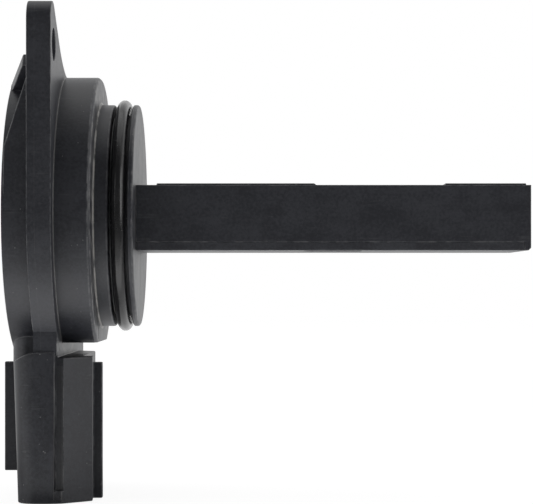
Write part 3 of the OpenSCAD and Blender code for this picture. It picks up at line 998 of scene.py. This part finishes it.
@dataclass
class Probe:
    """The flat air duct, its glued lid and the cover over the elements."""

    edges: EdgeSoftener = field(default_factory=lambda: EdgeSoftener(width_mm=0.12))

    def build(self) -> list[bpy.types.Object]:
        """Builds the probe's pieces.

        Returns:
            The pieces.
        """
        body = self.edges.soften("probe_body", Finish.PROBE, "probe_plastic")
        lid = self.edges.soften("bypass_cover", Finish.LID, "probe_plastic")
        cover = self.edges.soften("element_cover", Finish.PROBE, "probe_plastic")
        return [body, lid, cover]


@dataclass
class Terminals:
    """The blades in the connector."""

    count: int = 5
    edges: EdgeSoftener = field(default_factory=lambda: EdgeSoftener(width_mm=0.07, segments=1))

    def build(self) -> list[bpy.types.Object]:
        """Builds the blades.

        Returns:
            The blades.
        """
        names = [f"terminal_{number + 1}" for number in range(self.count)]
        return [self.edges.soften(name, Finish.TIN, "terminal_tin") for name in names]


@dataclass
class Circuit:
    """The circuit in its chamber: plate, board, chips, wires and gel."""

    finishes: dict[str, Finish] = field(default_factory=lambda: {
        "base_plate": Finish.HEAT_PLATE,
        "circuit_board": Finish.BOARD,
        "control_chip": Finish.EPOXY,
        "power_transistor": Finish.EPOXY,
        "capacitors": Finish.CAPACITOR,
        "resistors": Finish.RESISTOR,
        "bond_wires": Finish.GOLD,
        "potting_gel": Finish.GEL,
    })

    def build(self) -> list[bpy.types.Object]:
        """Dresses the circuit's nodes.

        Returns:
            The nodes.
        """
        return [dress(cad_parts[node], finish) for node, finish in self.finishes.items()]


@dataclass
class Elements:
    """The holder, its pins, the two wound elements and the bead in the air inlet."""

    wire_mm: float = 0.05
    turns: int = 12
    turn_segments: int = 16
    wire_segments: int = 8
    wound_share: float = 0.8

    def build(self) -> list[bpy.types.Object]:
        """Builds the windings and dresses the nodes.

        Returns:
            The pieces.
        """
        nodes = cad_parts
        pieces = [dress(nodes["element_holder"], Finish.PROBE)]
        for pins in ("heater_pins", "compensation_pins", "thermistor_pins"):
            pieces.append(dress(nodes[pins], Finish.TIN))
        for element in ("hot_wire", "cold_wire"):
            pieces.append(dress(nodes[element], Finish.BOBBIN))
            pieces.append(self._winding(element))
        pieces.append(dress(nodes["air_thermistor"], Finish.BEAD))
        return pieces

    def _winding(self, element: str) -> bpy.types.Object:
        """Winds fine wire round an element's bobbin.

        Args:
            element: The element's node.

        Returns:
            The winding.
        """
        low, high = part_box(element)
        middle = (low + high) / 2
        wire = self.wire_mm * MM / 2
        run = (high.y - low.y) * self.wound_share
        start = Vector((middle.x, middle.y - run / 2, middle.z + (high.z - low.z) / 2 - wire))
        steps = self.turns * self.turn_segments
        form = bmesh.new()
        bmesh.ops.create_circle(form, segments=self.wire_segments, radius=wire)
        upright = Matrix.Rotation(math.pi / 2, 3, "Y")
        bmesh.ops.rotate(form, verts=form.verts, cent=(0, 0, 0), matrix=upright)
        bmesh.ops.translate(form, verts=form.verts, vec=start)
        bmesh.ops.spin(
            form, geom=form.verts[:] + form.edges[:], cent=middle, axis=(0, 1, 0),
            dvec=(0, run / steps, 0), angle=2 * math.pi * self.turns, steps=steps,
            use_duplicate=False,
        )
        bmesh.ops.holes_fill(form, edges=form.edges, sides=self.wire_segments)
        bmesh.ops.recalc_face_normals(form, faces=form.faces)
        shade_smooth(form)
        return add_piece(f"{element}_winding", form, Finish.PLATINUM)


@dataclass(frozen=True)
class WhiteFloor:
    """A white floor that keeps a faint shadow and is clear from below.

    Its mirror image in the sensor is bright at low angles and behind the sensor, and dim under
    the camera.
    """

    name: str = "floor"
    half_mm: float = 1500.0
    gap_mm: float = 0.1
    lit: Colour = (0.8, 0.8, 0.8)
    faint: Colour = (0.2, 0.2, 0.2)
    seen_glow: float = 0.9
    mirrored_glow: float = 0.88
    least_mirrored_glow: float = 0.02
    low_angle_step: Span = (0.15, 0.85)
    behind_step_mm: Span = (0.0, 60.0)

    def build(self) -> None:
        """Lays the floor at the foot of the connector."""
        low, _ = CAD_BOX
        form = bmesh.new()
        bmesh.ops.create_grid(form, x_segments=1, y_segments=1, size=self.half_mm * MM)
        bmesh.ops.translate(form, verts=form.verts, vec=(0, 0, low.z - self.gap_mm * MM))
        mesh = bpy.data.meshes.new(self.name)
        form.to_mesh(mesh)
        form.free()
        floor = bpy.data.objects.new(self.name, mesh)
        bpy.context.scene.collection.objects.link(floor)
        mesh.materials.append(self._material())

    def _material(self) -> bpy.types.Material:
        """Builds the floor's material.

        Returns:
            The material.
        """
        material, r = new_recipe(f"white_{self.name}")
        camera, glossy, through = (
            r.node("ShaderNodeLightPath", output=f"Is {kind} Ray")
            for kind in ("Camera", "Glossy", "Transmission")
        )
        lit = r.node("ShaderNodeBsdfDiffuse", {}, {"Color": self.lit})
        faint = r.node("ShaderNodeBsdfDiffuse", {}, {"Color": self.faint})
        facing = r.node("ShaderNodeLayerWeight", output="Facing")
        low_angle = (1.0 - facing).above(*self.low_angle_step)
        behind = r.along("Y").above(*self.behind_step_mm)
        mirrored = (low_angle + behind).clamped() * self.mirrored_glow + self.least_mirrored_glow
        glow = (camera + through).clamped() * self.seen_glow + glossy * mirrored
        white = r.node("ShaderNodeEmission", {}, {"Color": WHITE, "Strength": glow})
        seen_white = r.node("ShaderNodeAddShader", {}, {0: white, 1: faint})
        shade = r.blended((camera + glossy + through).clamped(), lit, seen_white)
        below = r.node("ShaderNodeNewGeometry", output="Backfacing")
        one_sided = r.blended(below, shade, r.node("ShaderNodeBsdfTransparent"))
        r.node("ShaderNodeOutputMaterial", {}, {"Surface": one_sided})
        return material


@dataclass(frozen=True)
class WhiteTent:
    """White surroundings that light the sensor less from the camera's side and from overhead."""

    name: str = "tent"
    back_step: Span = (-0.75, 0.45)
    overhead_step: Span = (0.35, 0.90)
    back_light: float = 0.84
    camera_side_light: float = 0.16
    overhead_dimmed: float = 0.45

    def build(self) -> None:
        """Makes the surroundings and sets them."""
        world = bpy.data.worlds.new(self.name)
        bpy.context.scene.world = world
        world.use_nodes = True
        r = Recipe(world.node_tree)
        direction = r.node("ShaderNodeTexCoord", output="Generated")
        depth, height = (
            r.node("ShaderNodeSeparateXYZ", {}, {"Vector": direction}, axis) for axis in "YZ"
        )
        back = depth.above(*self.back_step)
        overhead = height.above(*self.overhead_step)
        light = back * self.back_light + self.camera_side_light
        light = light * (1.0 - overhead * self.overhead_dimmed)
        camera = r.node("ShaderNodeLightPath", output="Is Camera Ray")
        strength = camera + (1.0 - camera) * light
        inputs = {"Color": WHITE, "Strength": strength}
        background = r.node("ShaderNodeBackground", {}, inputs)
        r.node("ShaderNodeOutputWorld", {}, {"Surface": background})


@dataclass(frozen=True)
class Lamp:
    """A soft lamp: its name, its place and size in metres, its power, and what it points at."""

    name: str
    at: Triple
    size: Span
    watts: float
    towards: Optional[Triple] = None

    def build(self) -> None:
        """Sets up the lamp, which points at the sensor's middle if nothing else is given."""
        data = bpy.data.lights.new(self.name, "AREA")
        data.shape = "RECTANGLE"
        data.size, data.size_y = self.size
        data.energy = self.watts
        lamp = bpy.data.objects.new(self.name, data)
        low, high = CAD_BOX
        target = Vector(self.towards) if self.towards else (low + high) / 2
        lamp.location = self.at
        lamp.rotation_euler = (target - Vector(self.at)).to_track_quat("-Z", "Y").to_euler()
        lamp.visible_camera = False
        bpy.context.scene.collection.objects.link(lamp)


@dataclass
class Studio:
    """Plain white surroundings, soft lamps and the photograph's camera."""

    frame_px: tuple[int, int] = (533, 504)
    focal_px: float = 1861.0
    axis_px: Span = (266.5, 286.0)
    camera_mm: Triple = (31.2, -293.0, -11.05)
    sensor_mm: float = 36.0
    nearest_mm: float = 10.0
    floor: WhiteFloor = WhiteFloor()
    tent: WhiteTent = WhiteTent()
    lamps: tuple[Lamp, ...] = (
        Lamp("top_light", (0.05, 0.10, 0.80), (0.9, 0.7), 1.1),
        Lamp("left_light", (-0.66, -0.40, 0.12), (0.5, 0.7), 1.7),
        Lamp("side_light", (-0.80, 0.08, 0.0), (0.4, 0.7), 1.0),
        Lamp("right_light", (0.76, -0.24, 0.10), (0.3, 0.7), 1.6),
        Lamp("table_light", (0.02, -0.0325, -0.0425), (0.26, 0.025), 0.017, (0.02, -0.0325, 0.5)),
    )

    def build(self) -> None:
        """Builds the camera, the floor, the surroundings and the lamps."""
        self._camera()
        self.floor.build()
        self.tent.build()
        for lamp in self.lamps:
            lamp.build()
        bpy.context.scene.view_settings.view_transform = "Standard"

    def _camera(self) -> None:
        """Sets the camera where the photograph was taken from, looking along +Y."""
        width, height = self.frame_px
        data = bpy.data.cameras.new("camera")
        data.sensor_fit = "HORIZONTAL"
        data.sensor_width = self.sensor_mm
        data.lens = self.sensor_mm * self.focal_px / width
        data.shift_x = (width / 2 - self.axis_px[0]) / width
        data.shift_y = (self.axis_px[1] - height / 2) / width
        data.clip_start = self.nearest_mm * MM
        camera = bpy.data.objects.new("camera", data)
        camera.location = Vector(self.camera_mm) * MM
        camera.rotation_euler = (math.pi / 2, 0.0, 0.0)
        bpy.context.scene.collection.objects.link(camera)
        bpy.context.scene.camera = camera


def report(pieces: Iterable[bpy.types.Object]) -> None:
    """Logs each piece and its number of faces.

    Args:
        pieces: The pieces.
    """
    for piece in pieces:
        LOG.info("%s: %d faces", piece.name, len(piece.data.polygons))


def main() -> None:
    """Builds the sensor's classes in order, then the studio."""
    logging.basicConfig(level=logging.INFO, format="%(name)s %(message)s")
    for assembly in (Housing(), SealRing(), Probe(), Terminals(), Circuit(), Elements()):
        report(assembly.build())
    Studio().build()


if __name__ == "__main__":
    main()
